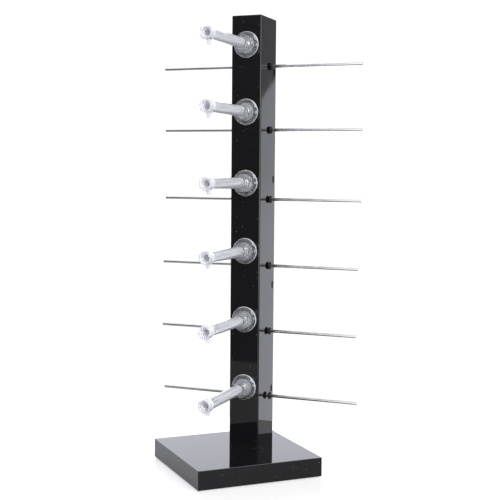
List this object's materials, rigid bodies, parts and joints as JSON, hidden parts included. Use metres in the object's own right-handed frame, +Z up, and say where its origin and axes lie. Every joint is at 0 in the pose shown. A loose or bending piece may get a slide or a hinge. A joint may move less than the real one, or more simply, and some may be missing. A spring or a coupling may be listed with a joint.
{
  "type": "eyewear display stand",
  "caption": "Counter stand for glasses: a square column on a turned square base, clear nose pegs in front and thin steel rods that carry the temples.",
  "frame": {"origin": "centre of the underside of the base mat, on the surface that the stand rests on", "axes": "+Z up along the column, pegs point along -Y towards the customer, rods run along X"},
  "size_m": [0.222, 0.1852, 0.4599],
  "materials": {
    "black_gloss": "polished black acrylic",
    "clear_plastic": "clear moulded plastic with a faint violet tint",
    "polished_steel": "bright plated steel wire",
    "zinc_steel": "zinc plated screws",
    "black_rubber": "moulded nitrile rubber",
    "foam": "closed-cell foam sheet",
    "inner_plastic": "sawn black plastic"
  },
  "bodies": {
    "stand": {"base_mat": "foam", "base_slab": "black_gloss", "column_shell": "black_gloss", "column_rear_cover": "black_gloss", "column_foot_block": "inner_plastic", "base_screw_1": "zinc_steel", "base_screw_2": "zinc_steel", "nose_peg_1": "clear_plastic", "peg_screw_1": "zinc_steel", "nose_peg_2": "clear_plastic", "peg_screw_2": "zinc_steel", "nose_peg_3": "clear_plastic", "peg_screw_3": "zinc_steel", "nose_peg_4": "clear_plastic", "peg_screw_4": "zinc_steel", "nose_peg_5": "clear_plastic", "peg_screw_5": "zinc_steel", "nose_peg_6": "clear_plastic", "peg_screw_6": "zinc_steel"},
    "rod_1": {"temple_rod_1": "polished_steel", "rod_ring_right_1": "black_rubber", "rod_ring_left_1": "black_rubber"},
    "rod_2": {"temple_rod_2": "polished_steel", "rod_ring_right_2": "black_rubber", "rod_ring_left_2": "black_rubber"},
    "rod_3": {"temple_rod_3": "polished_steel", "rod_ring_right_3": "black_rubber", "rod_ring_left_3": "black_rubber"},
    "rod_4": {"temple_rod_4": "polished_steel", "rod_ring_right_4": "black_rubber", "rod_ring_left_4": "black_rubber"},
    "rod_5": {"temple_rod_5": "polished_steel", "rod_ring_right_5": "black_rubber", "rod_ring_left_5": "black_rubber"},
    "rod_6": {"temple_rod_6": "polished_steel", "rod_ring_right_6": "black_rubber", "rod_ring_left_6": "black_rubber"}
  },
  "joints": [
    {"name": "rod_slide_1", "type": "slide", "parent": "stand", "child": "rod_1", "axis": [1, 0, 0], "range_m": [-0.0002, 0.0016]},
    {"name": "rod_slide_2", "type": "slide", "parent": "stand", "child": "rod_2", "axis": [1, 0, 0], "range_m": [-0.0002, 0.0016]},
    {"name": "rod_slide_3", "type": "slide", "parent": "stand", "child": "rod_3", "axis": [1, 0, 0], "range_m": [-0.0005, 0.0013]},
    {"name": "rod_slide_4", "type": "slide", "parent": "stand", "child": "rod_4", "axis": [1, 0, 0], "range_m": [-0.0002, 0.0016]},
    {"name": "rod_slide_5", "type": "slide", "parent": "stand", "child": "rod_5", "axis": [1, 0, 0], "range_m": [-0.0007, 0.0011]},
    {"name": "rod_slide_6", "type": "slide", "parent": "stand", "child": "rod_6", "axis": [1, 0, 0], "range_m": [-0.0016, 0.0002]}
  ]
}
